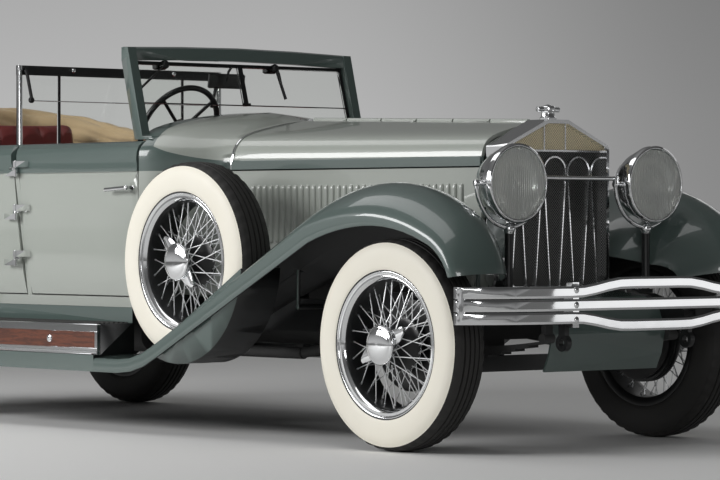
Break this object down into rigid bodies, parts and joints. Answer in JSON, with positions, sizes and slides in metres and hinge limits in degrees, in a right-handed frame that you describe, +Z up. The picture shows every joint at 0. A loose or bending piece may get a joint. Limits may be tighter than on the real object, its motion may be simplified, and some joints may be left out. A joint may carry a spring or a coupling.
{
  "type": "vintage touring car",
  "caption": "Open four-door touring car of about 1930 with long louvred bonnet, wire wheels, side-mounted spares, sweeping fenders and folded top; wheels, steering, doors and bonnet move.",
  "frame": {"origin": "on the ground under the middle of the bounding box", "axes": "+X forward, +Y to the car's left, +Z up"},
  "size_m": [5.44, 1.86, 1.714],
  "materials": {
    "black_paint": "satin black",
    "iron": "oiled iron",
    "chrome": "polished",
    "grille": "dark mesh with bright bars",
    "tyre": "black rubber with a cream side",
    "light_paint": "gloss grey-green",
    "dark_paint": "gloss dark green",
    "glass": "clear",
    "leather": "maroon hide",
    "canvas": "tan canvas",
    "timber": "varnished"
  },
  "bodies": {
    "chassis": {"chassis_frame": "black_paint", "cross_members": "black_paint", "engine": "iron", "front_axle": "black_paint", "rear_axle": "black_paint", "leaf_springs": "iron", "exhaust": "iron", "fuel_tank": "black_paint", "spare_wheels": "chrome", "spare_tyres": "tyre", "radiator_shell": "chrome", "radiator_grille": "grille", "radiator_cap": "chrome", "bonnet_rod": "chrome", "bonnet_sides": "light_paint", "cowl": "light_paint", "dashboard": "timber", "windscreen_frame": "black_paint", "glass_panes": "glass", "body_tub": "light_paint", "partition": "black_paint", "front_seat": "leather", "rear_seat": "leather", "folded_top": "canvas", "front_fenders": "dark_paint", "rear_fenders": "dark_paint", "running_boards": "dark_paint", "step_fascias": "timber", "front_bumper": "chrome", "rear_bumper": "chrome", "headlamps": "chrome", "lamp_lenses": "glass", "front_apron": "dark_paint", "tail_lamps": "chrome"},
    "knuckle_right": {"knuckle_right": "iron"},
    "knuckle_left": {"knuckle_left": "iron"},
    "tie_rod": {"tie_rod": "iron"},
    "wheel_front_right": {"wheel_front_right": "chrome", "tyre_front_right": "tyre"},
    "door_front_right": {"door_front_right": "light_paint"},
    "wheel_front_left": {"wheel_front_left": "chrome", "tyre_front_left": "tyre"},
    "door_front_left": {"door_front_left": "light_paint"},
    "wheel_rear_right": {"wheel_rear_right": "chrome", "tyre_rear_right": "tyre"},
    "door_rear_right": {"door_rear_right": "light_paint"},
    "wheel_rear_left": {"wheel_rear_left": "chrome", "tyre_rear_left": "tyre"},
    "door_rear_left": {"door_rear_left": "light_paint"},
    "bonnet_right": {"bonnet_right": "light_paint"},
    "bonnet_left": {"bonnet_left": "light_paint"},
    "steering_wheel": {"steering_wheel": "black_paint"}
  },
  "joints": [
    {"name": "steer_left", "type": "hinge", "parent": "chassis", "child": "knuckle_left", "pos_m": [2, 0.58, 0.428], "axis": [0, 0, 1], "range_deg": [-29, 29]},
    {"name": "steer_right", "type": "hinge", "parent": "chassis", "child": "knuckle_right", "pos_m": [2, -0.58, 0.428], "axis": [0, 0, 1], "range_deg": [-29, 29]},
    {"name": "tie_rod_end", "type": "hinge", "parent": "knuckle_left", "child": "tie_rod", "pos_m": [1.83, 0.58, 0.332], "axis": [0, 0, 1], "range_deg": [-29, 29]},
    {"name": "steering_wheel_turn", "type": "hinge", "parent": "chassis", "child": "steering_wheel", "pos_m": [-0.06, -0.262, 1.345], "axis": [-0.8829, 0, 0.4695], "range_deg": [-348, 348]},
    {"name": "wheel_front_right_spin", "type": "hinge", "parent": "knuckle_right", "child": "wheel_front_right", "pos_m": [2, -0.73, 0.428], "axis": [0, 1, 0], "continuous": true},
    {"name": "wheel_rear_right_spin", "type": "hinge", "parent": "chassis", "child": "wheel_rear_right", "pos_m": [-1.7, -0.73, 0.428], "axis": [0, 1, 0], "continuous": true},
    {"name": "door_front_right_hinge", "type": "hinge", "parent": "chassis", "child": "door_front_right", "pos_m": [-0.69, -0.725, 0.965], "axis": [0, 0, -1], "range_deg": [0, 70]},
    {"name": "door_rear_right_hinge", "type": "hinge", "parent": "chassis", "child": "door_rear_right", "pos_m": [-0.69, -0.725, 0.965], "axis": [0, 0, 1], "range_deg": [0, 70]},
    {"name": "wheel_front_left_spin", "type": "hinge", "parent": "knuckle_left", "child": "wheel_front_left", "pos_m": [2, 0.73, 0.428], "axis": [0, 1, 0], "continuous": true},
    {"name": "wheel_rear_left_spin", "type": "hinge", "parent": "chassis", "child": "wheel_rear_left", "pos_m": [-1.7, 0.73, 0.428], "axis": [0, 1, 0], "continuous": true},
    {"name": "door_front_left_hinge", "type": "hinge", "parent": "chassis", "child": "door_front_left", "pos_m": [-0.69, 0.725, 0.965], "axis": [0, 0, 1], "range_deg": [0, 70]},
    {"name": "door_rear_left_hinge", "type": "hinge", "parent": "chassis", "child": "door_rear_left", "pos_m": [-0.69, 0.725, 0.965], "axis": [0, 0, -1], "range_deg": [0, 70]},
    {"name": "bonnet_right_hinge", "type": "hinge", "parent": "chassis", "child": "bonnet_right", "pos_m": [0.5502, 0, 1.373], "axis": [-0.9996, 0, 0.027], "range_deg": [0, 60]},
    {"name": "bonnet_left_hinge", "type": "hinge", "parent": "chassis", "child": "bonnet_left", "pos_m": [0.5502, 0, 1.373], "axis": [0.9996, 0, -0.027], "range_deg": [0, 60]}
  ],
  "couplings": [
    {"joint": "steer_right", "follows": "steer_left", "ratio": 1},
    {"joint": "tie_rod_end", "follows": "steer_left", "ratio": -1},
    {"joint": "steering_wheel_turn", "follows": "steer_left", "ratio": 12}
  ]
}
